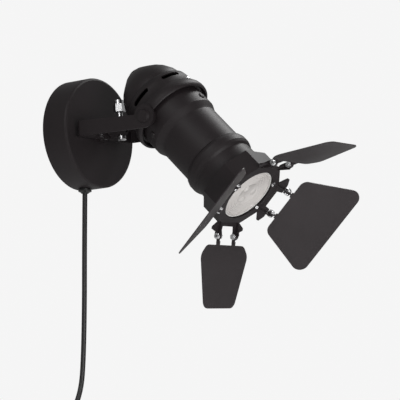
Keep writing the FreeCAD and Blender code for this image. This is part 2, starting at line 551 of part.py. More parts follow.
def make_flap(label, turn, kind, angle):
    """A sheet flap with rounded corners, two hinge arms and the screws they turn on."""
    side_frame = head * Placement(Vector(), Rotation(Z_AXIS, turn)) * at(
        "hinge_radius", 0, "frame_at + hinge_forward") * Placement(Vector(), Rotation(Y_AXIS, -size[angle]))
    start, far = kind + "_flap_arm", kind + "_flap_arm + " + kind + "_flap_length"
    half = [(start, "0.5 * %s_flap_inner" % kind), (far, "0.5 * %s_flap_outer" % kind)]
    if kind == "end":
        half.insert(1, ("end_flap_arm + end_flap_shoulder", "0.5 * end_flap_wide"))
    points = half + [(x, opposite(y)) for x, y in reversed(half)]
    blade = doc.addObject("PartDesign::Body", label + "_blade")
    pad = padded(blade, label + "_pad", "XY_Plane", points, "flap_wall")
    rounded(blade, label + "_corners", pad, "flap_round", upright)
    pieces = [blade]
    inner = "hinge_half - 0.5 * ear_wall - hinge_gap - ear_wall"
    ways = []
    for side in (-1, 1):
        y = inner if side > 0 else opposite(inner) + " - ear_wall"
        pieces.append(box(label + "_tongue", "strip_start + 2", "ear_wall", "2 * hinge_pin",
                          at(0, y, "-hinge_pin")))
        pieces.append(box(label + "_strip", start + " - strip_start + 1", "strip_width", "flap_wall",
                          at("strip_start", y + " + 0.5 * ear_wall - 0.5 * strip_width", 0)))
        pieces.append(cylinder(label + "_eye", "hinge_pin + 1.4", "ear_wall",
                               at(0, y, 0, Rotation(X_AXIS, -90))))
    ways.append(cylinder(label + "_way", "hinge_pin + pin_gap", "4 * hinge_half",
                         at(0, "-2 * hinge_half", 0, Rotation(X_AXIS, -90))))
    keep(cut(label + "_cut", fuse(label + "_whole", *pieces), *ways), label, side_frame)
    screws = []
    for side in (-1, 1):
        turn_out = Rotation(X_AXIS, -90 * side)
        shank = cylinder(label + "_shank", "hinge_pin", "hinge_head_thick + 2 * ear_wall + 2 * hinge_gap",
                         Placement(Vector(0, side * value(inner + " - hinge_head_thick - hinge_gap"), 0), turn_out))
        nut = hexagon(label + "_nut", "1.8 * hinge_head", "hinge_head_thick",
                      Placement(Vector(0, side * value(inner + " - hinge_head_thick - hinge_gap"), 0), turn_out))
        top = cylinder(label + "_screw_top", "hinge_head", "hinge_head_thick",
                       Placement(Vector(0, side * value("hinge_half + 0.5 * ear_wall"), 0), turn_out))
        screws.append(fuse(label + "_screw", shank, top, nut))
    keep(group(label + "_screw_pair", *screws), label + "_screws", side_frame)


# ---- cord, coil and plug ----

def make_cord():
    """The mains cord hangs from the rim; its spare length is a tied coil with the plug below."""
    gland = turned("grommet_body", [
        ("0.5 * cord_diameter", "-3"), ("rim_hole", "-3"), ("rim_hole", "1"), ("grommet_flange", "1"),
        ("grommet_flange", "2.2"), ("0.5 * cord_diameter + 1.6", "3.2"),
        ("0.5 * cord_diameter + 1", "grommet_length"), ("0.5 * cord_diameter", "grommet_length")])
    gland.Placement = at()
    keep(gland, "cord_grommet", at(0, "-rim_hole_y", "-canopy_radius", Rotation(X_AXIS, 180)))
    radius = 0.5 * size["cord_diameter"]
    y, rim = -size["cord_y"], -size["rim_hole_y"]
    route = [Vector(0, rim, -54), Vector(0.4, rim, -105), Vector(0.8, rim - 0.5, -155),
             Vector(-1, rim - 1.5, -205), Vector(-3.6, rim - 2.6, -231), Vector(-7.1, y, -248.4),
             Vector(-4.9, y, -263.2)]
    sweep_tube("cord", route, radius)
    # the coil as one closed ring of its outer shape, standing in the plane of the wall
    half_wide = 0.5 * size["coil_wide"] * size["cord_diameter"]
    half_deep = 0.5 * size["coil_layers"] * size["cord_diameter"]
    mean = 0.5 * size["coil_mean"]
    ring = Part.makeCylinder(mean + half_wide, 2 * half_deep, Vector(0, 0, -half_deep))
    ring = ring.cut(Part.makeCylinder(mean - half_wide, 4 * half_deep, Vector(0, 0, -2 * half_deep)))
    coil = doc.addObject("Part::Feature", "coil_ring")
    coil.Shape = ring.makeChamfer(0.7 * radius, [edge for edge in ring.Edges if len(edge.Vertexes) == 1])
    centre = Placement(Vector(0, y, -size["coil_z"]), stem_turn)
    keep(coil, "cord_coil", centre)
    wall_out = size["tie_wall"]
    size_x, size_y = half_wide + size["tie_gap"], half_deep + 0.2 * size["tie_gap"]
    band = Part.makeBox(2 * (size_x + wall_out), size["tie_width"], 2 * (size_y + wall_out),
                        Vector(-size_x - wall_out, -0.5 * size["tie_width"], -size_y - wall_out))
    band = band.cut(Part.makeBox(2 * size_x, 2 * size["tie_width"], 2 * size_y,
                                 Vector(-size_x, -size["tie_width"], -size_y)))
    tie = doc.addObject("Part::Feature", "tie_band")
    tie.Shape = band
    keep(tie, "coil_tie", centre * Placement(Vector(mean, 0, 0), Rotation()))
    side, top = -size["tail_x"], size["plug_length"] - size["plug_z"]
    # the tail's square end just clears the round of the coil
    low = -size["coil_z"] - math.sqrt((mean + half_wide) ** 2 - (side + radius) ** 2)
    tail = [Vector(side, y, low), Vector(side, y, top)]
    sweep_tube("cord_tail", tail, radius)
    body = doc.addObject("PartDesign::Body", "plug_form")
    pad = padded(body, "plug_pad", "XY_Plane", [
        ("-0.5 * plug_width", "0"), ("0.5 * plug_width", "0"), ("0.5 * plug_width", "0.45 * plug_length"),
        ("0.7 * cord_diameter", "plug_length"), ("-0.7 * cord_diameter", "plug_length"),
        ("-0.5 * plug_width", "0.45 * plug_length")], "plug_thick", midplane=True)
    rounded(body, "plug_round", pad, "2", upright)
    keep(body, "plug_body", at("-tail_x", "-cord_y", "-plug_z", Rotation(X_AXIS, 90)))
    pins = [cylinder("plug_pin", "plug_pin_radius", "plug_pin_length", at(
        "%s * plug_pin_pitch - tail_x" % (0.5 * side), "-cord_y", "-plug_z - plug_pin_length")) for side in (-1, 1)]
    keep(group("plug_pin_pair", *pins), "plug_pins", wall)


def sweep_tube(label, route, radius):
    """A round tube of straight runs and tangent arcs; each arc is as large as its runs allow."""
    edges, start, radii = [], route[0], []
    for before, corner, after in zip(route, route[1:], route[2:]):
        into, out = (corner - before), (after - corner)
        reach = 0.45 * min(into.Length, out.Length)
        radii.append(reach / math.tan(0.5 * into.getAngle(out)))
        into.normalize()
        out.normalize()
        first, last = corner - into * reach, corner + out * reach
        bisector = out - into
        bisector.normalize()
        gap = math.hypot(reach, radii[-1]) - radii[-1]
        edges.append(Part.LineSegment(start, first).toShape())
        edges.append(Part.Arc(first, corner + bisector * gap, last).toShape())
        start = last
    edges.append(Part.LineSegment(start, route[-1]).toShape())
    path = Part.Wire(edges)
    ring = Part.Wire(Part.makeCircle(radius, route[0], route[1] - route[0]))
    tube = doc.addObject("Part::Feature", label + "_tube")
    tube.Shape = path.makePipeShell([ring], True, False)
    expected = math.pi * radius ** 2 * path.Length
    print("%s: length %.1f, volume over expected %.4f, radii %s"
          % (label, path.Length, tube.Shape.Volume / expected, [round(item) for item in radii]))
    keep(tube, label, wall)


make_canopy()
make_bracket()
make_wiring()
make_stem()
make_yoke()
make_pivots()
make_cap()
make_body()
make_lamp()
make_frame()
for flap in quarter:
    make_flap(*flap)
make_cord()

doc.recompute()
faults = [item.Name for item in doc.Objects if {"Invalid", "Error"} & set(item.State)]
faults += [item.Label for item in parts if item.Shape.isNull() or not item.Shape.isValid()]
if faults:
    raise SystemExit("failed: " + ", ".join(faults))
os.makedirs("parts", exist_ok=True)
for item in parts:
    item.Shape.exportStep("parts/%s.step" % item.Label)
print(len(parts), "nodes", {item.Label: len(item.Shape.Solids) for item in parts})
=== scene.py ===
import bpy
import bmesh
import json
import math
from mathutils import Matrix, Vector


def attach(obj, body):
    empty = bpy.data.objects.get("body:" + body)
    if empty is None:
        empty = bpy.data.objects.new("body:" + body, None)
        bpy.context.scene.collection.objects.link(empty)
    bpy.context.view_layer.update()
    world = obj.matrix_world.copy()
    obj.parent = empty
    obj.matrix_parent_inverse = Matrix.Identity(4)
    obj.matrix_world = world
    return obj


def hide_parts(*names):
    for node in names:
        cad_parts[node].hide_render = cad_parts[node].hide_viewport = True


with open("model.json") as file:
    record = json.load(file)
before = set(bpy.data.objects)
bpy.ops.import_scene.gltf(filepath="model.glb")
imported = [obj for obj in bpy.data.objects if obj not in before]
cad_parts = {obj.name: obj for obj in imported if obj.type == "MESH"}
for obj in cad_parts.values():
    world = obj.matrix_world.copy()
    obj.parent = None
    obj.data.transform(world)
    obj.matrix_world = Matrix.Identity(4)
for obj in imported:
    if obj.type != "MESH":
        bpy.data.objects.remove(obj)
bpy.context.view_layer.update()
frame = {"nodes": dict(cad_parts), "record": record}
print("frame loaded:", len(frame["nodes"]), "nodes")

view = {
    "azimuth": -53.88, "elevation": -12.49, "distance": 1.5,      # degrees, metres
    "target": (0, -0.08, -0.02), "targetPixel": (148.35, 147.5), "pixelsPerMetre": 1130,
    "imageSize": 400, "sensor": 36, "clipEnd": 50,
}


def directions(azimuth, elevation):
    a, e = math.radians(azimuth), math.radians(elevation)
    back = Vector((math.sin(a) * math.cos(e), -math.cos(a) * math.cos(e), math.sin(e)))
    right = Vector((math.cos(a), math.sin(a), 0))
    return back, right, back.cross(right)


def makeCamera():
    back, right, up = directions(view["azimuth"], view["elevation"])
    focal = view["pixelsPerMetre"] * view["distance"]
    middle = view["imageSize"] / 2
    offX = (middle - view["targetPixel"][0]) / focal
    offY = (middle - view["targetPixel"][1]) / focal
    forward = (-back + right * offX - up * offY).normalized()
    data = bpy.data.cameras.new("camera")
    data.sensor_width = view["sensor"]
    data.lens = focal * view["sensor"] / view["imageSize"]
    data.clip_end = view["clipEnd"]
    camera = bpy.data.objects.new("camera", data)
    bpy.context.collection.objects.link(camera)
    camera.location = Vector(view["target"]) + back * view["distance"]
    camera.rotation_euler = forward.to_track_quat("-Z", "Y").to_euler()
    bpy.context.scene.camera = camera


lamps = {
    "keyLamp": {"place": (-1.6, -0.3, 0.9), "aim": (0, -0.1, 0), "size": 0.7, "power": 6},
    "sideLamp": {"place": (0.9, -0.25, 1.2), "aim": (0.05, -0.15, -0.05), "size": 0.5, "power": 10},
    "frontLamp": {"place": (-0.45, -0.9, -0.2), "aim": (0.05, -0.2, -0.08), "size": 0.4, "power": 4.2},
}


def addLamp(name, place, aim, size, power):
    data = bpy.data.lights.new(name, "AREA")
    data.shape = "DISK"
    data.size = size
    data.energy = power
    lamp = bpy.data.objects.new(name, data)
    bpy.context.collection.objects.link(lamp)
    lamp.location = place
    lamp.rotation_euler = (Vector(aim) - Vector(place)).to_track_quat("-Z", "Y").to_euler()
    lamp.visible_camera = False  # the front lamp stands in sight of cameras that look from behind


class Link:
    # a shader socket that can be used in Python sums
    def __init__(self, paint, socket):
        self.paint, self.socket = paint, socket

    def maths(self, operation, other):
        return self.paint.node("ShaderNodeMath", {"operation": operation}, {0: self, 1: other})

    def __add__(self, other):
        return self.maths("ADD", other)

    def __mul__(self, other):
        return self.maths("MULTIPLY", other)


class Paint:
    # one material and the only way that nodes are added to it
    def __init__(self, name):
        self.material = bpy.data.materials.new(name)
        self.material.use_nodes = True
        self.tree = self.material.node_tree
        self.shader = self.tree.nodes["Principled BSDF"]
        self.place = self.node("ShaderNodeTexCoord", out="Object")

    def node(self, kind, settings=None, inputs=None, out=0):
        node = self.tree.nodes.new(kind)
        for key, value in (settings or {}).items():
            setattr(node, key, value)
        for key, value in (inputs or {}).items():
            self.feed(node.inputs[key], value)
        return Link(self, node.outputs[out])

    def feed(self, socket, value):
        if isinstance(value, Link):
            self.tree.links.new(value.socket, socket)
        elif isinstance(value, tuple) and len(value) == 3 and socket.type == "RGBA":
            socket.default_value = (*value, 1)
        else:
            socket.default_value = value

    def set(self, **values):
        for key, value in values.items():
            self.feed(self.shader.inputs[key.replace("_", " ")], value)

    def noise(self, scale, detail, rough=0.5):
        return self.node("ShaderNodeTexNoise", {}, {"Vector": self.place, "Scale": scale, "Detail": detail,
                                                   "Roughness": rough}, "Fac")

    def mix(self, mask, first, second):
        # inputs 6 and 7 and output 2 are the node's colour sockets
        return self.node("ShaderNodeMix", {"data_type": "RGBA"}, {0: mask, 6: first, 7: second}, 2)

    def bump(self, height, strength, distance):
        return self.node("ShaderNodeBump", {}, {"Height": height, "Strength": strength, "Distance": distance})


meshLimits = {"weld": 1e-6, "thin": 1e-7, "carvedWeld": 4e-6, "carvedThin": 1e-6}      # metres


def finished(mesh, name, material, smooth=40):
    # turns a mesh into an object at the origin, its edges sharp where they bend by more than the smooth angle
    bmesh.ops.remove_doubles(mesh, verts=mesh.verts, dist=meshLimits["weld"])
    bmesh.ops.dissolve_degenerate(mesh, edges=mesh.edges, dist=meshLimits["thin"])
    bmesh.ops.recalc_face_normals(mesh, faces=mesh.faces)
    data = bpy.data.meshes.new(name)
    mesh.to_mesh(data)
    mesh.free()
    piece = bpy.data.objects.new(name, data)
    bpy.context.collection.objects.link(piece)
    if material:
        data.materials.append(material)
    for face in data.polygons:
        face.use_smooth = True
    data.set_sharp_from_angle(angle=math.radians(smooth))
    return piece


stageLook = {
    "floorColor": (0.92, 0.92, 0.92), "floorHeight": -0.47, "floorHalf": 3, "floorRoughness": 0.9,
    "floorGlow": 0.93,       # the share of the floor that the camera sees as plain background
    "background": 0.915, "fill": 0.28,
}


def makeWorld():
    # the camera sees the background and the pieces are lit by the weaker fill
    world = bpy.data.worlds.new("studio")
    bpy.context.scene.world = world
    world.use_nodes = True
    tree = world.node_tree
    light = tree.nodes.new("ShaderNodeLightPath")
    blend = tree.nodes.new("ShaderNodeMix")
    blend.data_type = "FLOAT"
    tree.links.new(light.outputs["Is Camera Ray"], blend.inputs[0])
    blend.inputs[2].default_value = stageLook["fill"]
    blend.inputs[3].default_value = stageLook["background"]
    shine = tree.nodes["Background"]
    shine.inputs["Color"].default_value = (1, 1, 1, 1)
    tree.links.new(blend.outputs[0], shine.inputs["Strength"])


def makeFloor():
    mesh = bmesh.new()
    bmesh.ops.create_grid(mesh, x_segments=1, y_segments=1, size=stageLook["floorHalf"])
    bmesh.ops.translate(mesh, verts=mesh.verts, vec=(0, 0, stageLook["floorHeight"]))
    floor = finished(mesh, "floor", None)
    paint = Paint("paleFloor")
    paint.set(Base_Color=stageLook["floorColor"], Roughness=stageLook["floorRoughness"])
    path = Link(paint, paint.tree.nodes.new("ShaderNodeLightPath").outputs["Is Camera Ray"])
    glow = paint.node("ShaderNodeEmission", {}, {"Color": (1, 1, 1), "Strength": stageLook["background"]})
    shade = Link(paint, paint.shader.outputs[0])
    blended = paint.node("ShaderNodeMixShader", {}, {0: path * stageLook["floorGlow"], 1: shade, 2: glow})
    # from below the floor is clear, so that a low camera still sees the lamp
    below = Link(paint, paint.tree.nodes.new("ShaderNodeNewGeometry").outputs["Backfacing"])
    clear = paint.node("ShaderNodeBsdfTransparent")
    shown = paint.node("ShaderNodeMixShader", {}, {0: below, 1: blended, 2: clear})
    paint.tree.links.new(shown.socket, paint.tree.nodes["Material Output"].inputs[0])
    if floor.data.polygons[0].normal.z < 0:
        floor.data.flip_normals()
    floor.data.materials.append(paint.material)


makeCamera()
makeWorld()
makeFloor()
for lampName, lampLook in lamps.items():
    addLamp(lampName, **lampLook)
bpy.context.scene.view_settings.view_transform = "Standard"
print("camera, lamps and stage made")


def scaled(color, share, lift=0):
    return tuple(min(1, part * share + lift) for part in color)


def sheen(mask, roughness, spread):
    return mask * spread + (roughness - spread / 2)


def coatPaint(name, color, roughness, grain=0.35):
    # powder coat: a fine orange peel, faint cloudiness and slightly varied sheen
    paint = Paint(name)
    cloud = paint.noise(35, 3)
    peel = paint.noise(2600, 2, 0.6)
    paint.set(Base_Color=paint.mix(cloud, scaled(color, 0.85), scaled(color, 1.25, 0.002)), Metallic=0.0,
              Roughness=sheen(cloud, roughness, 0.08), Specular_IOR_Level=0.3,
              Normal=paint.bump(peel, grain, 0.0001))
    return paint.material


def metalPaint(name, color, roughness):
    # plated metal: faint cloudiness and a fine uneven sheen
    paint = Paint(name)
    fine = paint.noise(900, 3)
    cloud = paint.noise(120, 2)
    paint.set(Base_Color=paint.mix(cloud, scaled(color, 0.88), color), Metallic=1.0,
              Roughness=sheen(fine, roughness, 0.16), Normal=paint.bump(fine, 0.12, 0.00005))
    return paint.material


def plasticPaint(name, color, roughness):
    # moulded plastic, also used for the glazed and frosted parts
    paint = Paint(name)
    cloud = paint.noise(60, 3)
    fine = paint.noise(1800, 2)
    paint.set(Base_Color=paint.mix(cloud, scaled(color, 0.9), color),
              Roughness=sheen(cloud, roughness, 0.1), Normal=paint.bump(fine, 0.15, 0.00008))
    return paint.material


finishes = {
    "black_coat": coatPaint("blackCoat", (0.0128, 0.0093, 0.0103), 0.52),
    "flap_coat": coatPaint("flapCoat", (0.0285, 0.0235, 0.025), 0.4, 0.25),
    "bright_steel": metalPaint("brightSteel", (0.8, 0.8, 0.81), 0.22),
    "zinc_steel": metalPaint("zincSteel", (0.55, 0.55, 0.55), 0.35),
    "black_plastic": plasticPaint("blackPlastic", (0.012, 0.012, 0.012), 0.45),
    "cord_sheath": plasticPaint("cordSheath", (0.012, 0.011, 0.011), 0.42),
    "ceramic": plasticPaint("ceramic", (0.78, 0.76, 0.72), 0.3),
    "bulb_shell": plasticPaint("bulbShell", (0.82, 0.81, 0.79), 0.35),
    "lens_pane": plasticPaint("lensPane", (0.62, 0.59, 0.57), 0.2),
    "brass_pins": metalPaint("pinMetal", (0.75, 0.7, 0.55), 0.25),
    # painted shade: a near-black finish for the inlays that stand in for the shaded hollows of cross recesses
    "recess": plasticPaint("recessShade", (0.01, 0.01, 0.01), 0.6),
}
slotOf = {part["node"]: part["material_slot"] for part in frame["record"]["subparts"]}
for nodeName, node in frame["nodes"].items():
    node.data.materials.clear()
    node.data.materials.append(finishes[slotOf[nodeName]])
print("finishes made")


def turning(angle, axis):
    return Matrix.Rotation(math.radians(angle), 4, axis)


def moving(x, y, z):
    return Matrix.Translation((x, y, z))


headPose = {"swing": 6, "tilt": 47, "pivot": (0, -0.1035, 0.0015), "lift": 0.005}      # degrees, metres


def headFrame():
    # the lamp head's own axes: Z runs along its barrel towards the beam
    p = headPose
    return turning(-p["swing"], "Y") @ moving(*p["pivot"]) @ turning(90 + p["tilt"], "X") @ moving(0, p["lift"], 0)


def lathe(mesh, profile, matrix, segments=48):
    # spins a radius and height outline round the matrix's Z axis
    verts = [mesh.verts.new(matrix @ Vector((radius, 0, height))) for radius, height in profile]
    edges = [mesh.edges.new(pair) for pair in zip(verts, verts[1:])]
    bmesh.ops.spin(mesh, geom=verts + edges, cent=matrix.translation, axis=matrix.to_3x3() @ Vector((0, 0, 1)),
                   angle=2 * math.pi, steps=segments, use_merge=True)


def roundedBox(mesh, matrix, size, edge, segments=3):
    made = bmesh.ops.create_cube(mesh, size=1, matrix=matrix @ Matrix.Diagonal((*size, 1)))
    edges = list({item for vert in made["verts"] for item in vert.link_edges})
    bmesh.ops.bevel(mesh, geom=edges, offset=edge, segments=segments, affect="EDGES")


def screwHead(mesh, matrix, radius, height):
    # a pan head whose edge is rolled over, closed below
    lathe(mesh, [(0, 0), (radius, 0), (radius, height * 0.35), (radius * 0.93, height * 0.68),
                 (radius * 0.75, height * 0.9), (radius * 0.4, height), (0, height)], matrix)


# the bars of painted shade that stand for a cross recess
# the width is in metres, the rest in shares of the screw head
crossShadeLook = {"turns": (45, 135), "width": 0.0006, "length": 1.15, "depth": 0.16, "level": 0.93}


def crossShadeInlay(mesh, matrix, radius, height):
    # painted shade for the dark recess of a cross head screw: near-black bars set into the head where its hollow
    # would be shaded
    v = crossShadeLook
    for turn in v["turns"]:
        place = matrix @ turning(turn, "Z") @ moving(0, 0, height * v["level"])
        size = (radius * v["length"], v["width"], height * v["depth"])
        bmesh.ops.create_cube(mesh, size=1, matrix=place @ Matrix.Diagonal((*size, 1)))


capLook = {
    "apex": 0.0558, "wall": 0.0014, "neck": 0.03165, "radius": 0.0334, "step": 0.0302, "dome": 0.026,
    "lip": 0.0372, "plug": 0.006, "axisLift": 0.005, "segments": 144, "smooth": 38,
    "pinRadius": 0.003, "leadRadius": 0.004, "waySegments": 36,
    "socketRadius": 0.0075, "socketFrom": 0.0322, "socketTo": 0.0379,
    "ventCount": 6, "ventTurn": 56.3, "ventAlong": -0.0182, "ventLength": 0.0192, "ventWidth": 0.0042,
    "ventCorner": 0.00205, "ventCornerSegments": 6, "ventDeep": 0.012, "ventInside": 0.002,
    "screwTurns": (84, 264), "screwAlong": -0.0128, "screwSunk": 0.0009, "screwRadius": 0.0024,
    "screwHeight": 0.0016,
}


def carve(piece, mesh, operation):
    # joins a second shape to a piece, or cuts it away, and welds what the cut leaves open
    tool = finished(mesh, "carvingTool", None)
    change = piece.modifiers.new("carve", "BOOLEAN")
    change.object, change.operation, change.solver = tool, operation, "EXACT"
    change.use_hole_tolerant = True
    shape = bpy.data.meshes.new_from_object(piece.evaluated_get(bpy.context.evaluated_depsgraph_get()))
    piece.modifiers.clear()
    weld = bmesh.new()
    weld.from_mesh(shape)
    bmesh.ops.remove_doubles(weld, verts=weld.verts, dist=meshLimits["carvedWeld"])
    bmesh.ops.dissolve_degenerate(weld, edges=weld.edges, dist=meshLimits["carvedThin"])
    weld.to_mesh(shape)
    weld.free()
    piece.data = shape
    bpy.data.objects.remove(tool)


def capProfile():
    # from the crown down the outside to the rolled lip, and back up the inside
    v = capLook
    apex, wall, lip, side, step, dome = v["apex"], v["wall"], v["lip"], v["radius"], v["step"], v["dome"]
    outer = [(0, -apex), (0.006, -apex * 0.993), (0.012, -apex * 0.97), (dome - 0.007, -apex * 0.85),
             (dome - 0.003, -apex * 0.775), (dome, -apex * 0.7), (step - 0.0008, -apex * 0.57),
             (step, -apex * 0.49), (step, -apex * 0.455), (side - 0.0007, -apex * 0.405), (side, -apex * 0.32),
             (side, -apex * 0.19), (lip - 0.0017, -apex * 0.14), (lip - 0.0005, -apex * 0.095),
             (lip, -apex * 0.05), (lip, -0.0008), (lip - 0.0003, 0.0008), (lip - 0.0011, 0.0018),
             (lip - 0.0022, 0.0018), (lip - 0.0029, 0.0008), (lip - 0.0031, -0.0012), (lip - 0.0038, -0.0022),
             (v["neck"], -0.0022)]
    inner = [(v["neck"], -v["plug"]), (side - wall, -apex * 0.18), (side - wall, -apex * 0.32),
             (side - 0.0007 - wall, -apex * 0.385), (step - wall, -apex * 0.435),
             (step - 0.001 - wall, -apex * 0.56), (dome - wall, -apex * 0.68), (dome - 0.0078, -apex * 0.825),
             (0.0117, -apex * 0.943), (0, -apex + wall)]
    return outer + inner


def capOpenings(head):
    # the way for the lead in the crown and the round ended slots in the side
    v = capLook
    mesh = bmesh.new()
    far, near, lead = -v["apex"] * 1.1, -v["apex"] * 0.8, v["leadRadius"]
    lathe(mesh, [(0, far), (lead, far), (lead, near), (0, near)], head, v["waySegments"])
    for number in range(v["ventCount"]):
        place = (head @ turning(v["ventTurn"] + 360 * number / v["ventCount"], "Z")
                 @ moving(v["radius"] - v["ventInside"], 0, v["ventAlong"]))
        size = (v["ventDeep"], v["ventLength"], v["ventWidth"])
        made = bmesh.ops.create_cube(mesh, size=1, matrix=place @ Matrix.Diagonal((*size, 1)))
        outward = (place.to_3x3() @ Vector((1, 0, 0))).normalized()
        edges = {edge for vert in made["verts"] for edge in vert.link_edges}
        across = [edge for edge in edges
                  if abs((edge.verts[0].co - edge.verts[1].co).normalized().dot(outward)) > 0.99]
        bmesh.ops.bevel(mesh, geom=across, offset=v["ventCorner"], segments=v["ventCornerSegments"], profile=0.5,
                        affect="EDGES", material=-1)
    return mesh


def makeRearCap():
    # the domed cap: shoulder step, rolled lip with a groove under it, sockets for the pivots and slots in its side
    v, head = capLook, headFrame()
    mesh = bmesh.new()
    lathe(mesh, capProfile(), head, v["segments"])
    piece = finished(mesh, "rearCapShell", finishes["black_coat"], v["smooth"])
    carve(piece, capOpenings(head), "DIFFERENCE")
    pivot = head @ moving(0, -v["axisLift"], 0)
    low, high, round = v["socketFrom"], v["socketTo"], v["socketRadius"]
    sockets = bmesh.new()
    for turn in (-90, 90):
        lathe(sockets, [(0, low), (round, low), (round, high), (0, high)], pivot @ turning(turn, "Y"))
    carve(piece, sockets, "UNION")
    ways = bmesh.new()
    reach, pin = high * 1.5, v["pinRadius"]
    lathe(ways, [(0, -reach), (pin, -reach), (pin, reach), (0, reach)], pivot @ turning(90, "Y"), v["waySegments"])
    carve(piece, ways, "DIFFERENCE")
    piece.data.materials.clear()
    piece.data.materials.append(finishes["black_coat"])
    for face in piece.data.polygons:
        face.use_smooth, face.material_index = True, 0
    piece.data.set_sharp_from_angle(angle=math.radians(v["smooth"]))
    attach(piece, "head")
    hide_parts("rear_cap")


def makeCapSideScrews():
    v, head = capLook, headFrame()
    mesh = bmesh.new()
    for turn in v["screwTurns"]:
        seat = (head @ turning(turn, "Z") @ moving(v["radius"] - v["screwSunk"], 0, v["screwAlong"])
                @ turning(90, "Y"))
        screwHead(mesh, seat, v["screwRadius"], v["screwHeight"])
    piece = finished(mesh, "capSideScrews", finishes["bright_steel"], 30)
    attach(piece, "head")


hingeLook = {
    "radius": 0.041, "along": 0.1136, "screwHalf": 0.014, "nutHalf": 0.0097,
    "headRadius": 0.0028, "headHeight": 0.0016, "shankRadius": 0.0014, "shankSegments": 24,
    "tipShare": 0.8, "tipLength": 0.0005,
    "nutAcross": 0.005, "nutHeight": 0.0016, "nutTurn": 17, "nutEdge": 0.0002,
    # each flap's place round the barrel, and how far it opens
    "turns": {"flap_right": (0, 43), "flap_top": (90, 34), "flap_left": (180, 23), "flap_bottom": (270, 35)},
}


def makeHingeScrews():
    # a screw head, shank end and nut at both ends of each flap's hinge
    v, head = hingeLook, headFrame()
    inner, half, shank = v["nutHalf"], v["screwHalf"], v["shankRadius"]
    tip = inner - v["tipLength"]
    nutRadius = v["nutAcross"] / 1.732       # a hexagon's width over the square root of 3
    for name, (turn, angle) in v["turns"].items():
        steel, paintedShade = bmesh.new(), bmesh.new()
        hinge = head @ turning(turn, "Z") @ moving(v["radius"], 0, v["along"]) @ turning(-angle, "Y")
        for side in (-1, 1):
            out = hinge @ turning(-90 * side, "X")
            seat = out @ moving(0, 0, half)
            screwHead(steel, seat, v["headRadius"], v["headHeight"])
            # painted shade in the cross recess of each screw head
            crossShadeInlay(paintedShade, seat, v["headRadius"], v["headHeight"])
            lathe(steel, [(0, tip), (shank * v["tipShare"], tip), (shank, inner), (shank, half), (0, half)],
                  out, v["shankSegments"])
            nut = out @ moving(0, 0, inner + v["nutHeight"] / 2) @ turning(v["nutTurn"], "Z")
            made = bmesh.ops.create_cone(steel, cap_ends=True, segments=6, depth=v["nutHeight"],
                                         radius1=nutRadius, radius2=nutRadius, matrix=nut)
            edges = list({edge for vert in made["verts"] for edge in vert.link_edges})
            bmesh.ops.bevel(steel, geom=edges, offset=v["nutEdge"], segments=2, affect="EDGES")
        piece = finished(steel, name + "_screwHeads", finishes["bright_steel"], 30)
        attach(piece, "barn_ring")
        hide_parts(name + "_screws")
        # the inlays of painted shade for the screws' cross recesses
        inlay = finished(paintedShade, name + "_recesses", finishes["recess"], 30)
        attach(inlay, "barn_ring")


neckScrewLook = {"radius": 0.0029, "height": 0.0011, "seat": 0.0316, "along": 0.011, "turns": (90, 210, 330)}


def makeCapScrews():
    # the black screws round the neck that hold the cap
    v, head = neckScrewLook, headFrame()
    heads, paintedShade = bmesh.new(), bmesh.new()
    for turn in v["turns"]:
        seat = head @ turning(turn, "Z") @ moving(v["seat"], 0, v["along"]) @ turning(90, "Y")
        screwHead(heads, seat, v["radius"], v["height"])
        # painted shade in each head's cross recess
        crossShadeInlay(paintedShade, seat, v["radius"], v["height"])
    piece = finished(heads, "capScrewHeads", finishes["black_coat"], 30)
    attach(piece, "head")
    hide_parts("cap_screws")
    # the inlays of painted shade for the cap screws' cross recesses
    inlay = finished(paintedShade, "capScrewPaintedRecessShade", finishes["recess"], 30)
    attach(inlay, "head")


clipLook = {
    "radius": 0.0262, "along": 0.1081, "turns": (-26, 36), "edge": 0.0003, "foot": (0.0042, 0.0026, 0.0008),
    "tab": (0.0008, 0.0026, 0.0022), "tabPlace": (-0.0017, 0, 0.0009), "tabLean": -25,
}


def makeClips():
    # the two bright spring ends that hold the bulb at the window's edge
    v, head = clipLook, headFrame()
    mesh = bmesh.new()
    for turn in v["turns"]:
        place = head @ turning(turn, "Z") @ moving(v["radius"], 0, v["along"])
        roundedBox(mesh, place, v["foot"], v["edge"], 2)
        roundedBox(mesh, place @ moving(*v["tabPlace"]) @ turning(v["tabLean"], "Y"), v["tab"], v["edge"], 2)
    piece = finished(mesh, "bulbSpringClips", finishes["bright_steel"], 30)
    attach(piece, "barn_ring")


lensLook = {
    "face": 0.106, "radius": 0.0242, "rim": 0.0016, "thick": 0.002, "segments": 96,
    "ringCount": 7, "ringEnd": 0.0108, "ringTop": -0.0005, "ringFoot": -0.0009, "middle": -0.0013,
    "domes": 3, "domeRadius": 0.0034, "domeRing": 0.0066, "domeTurn": 20, "domeFoot": -0.0014,
    "domeSegments": 36,
}


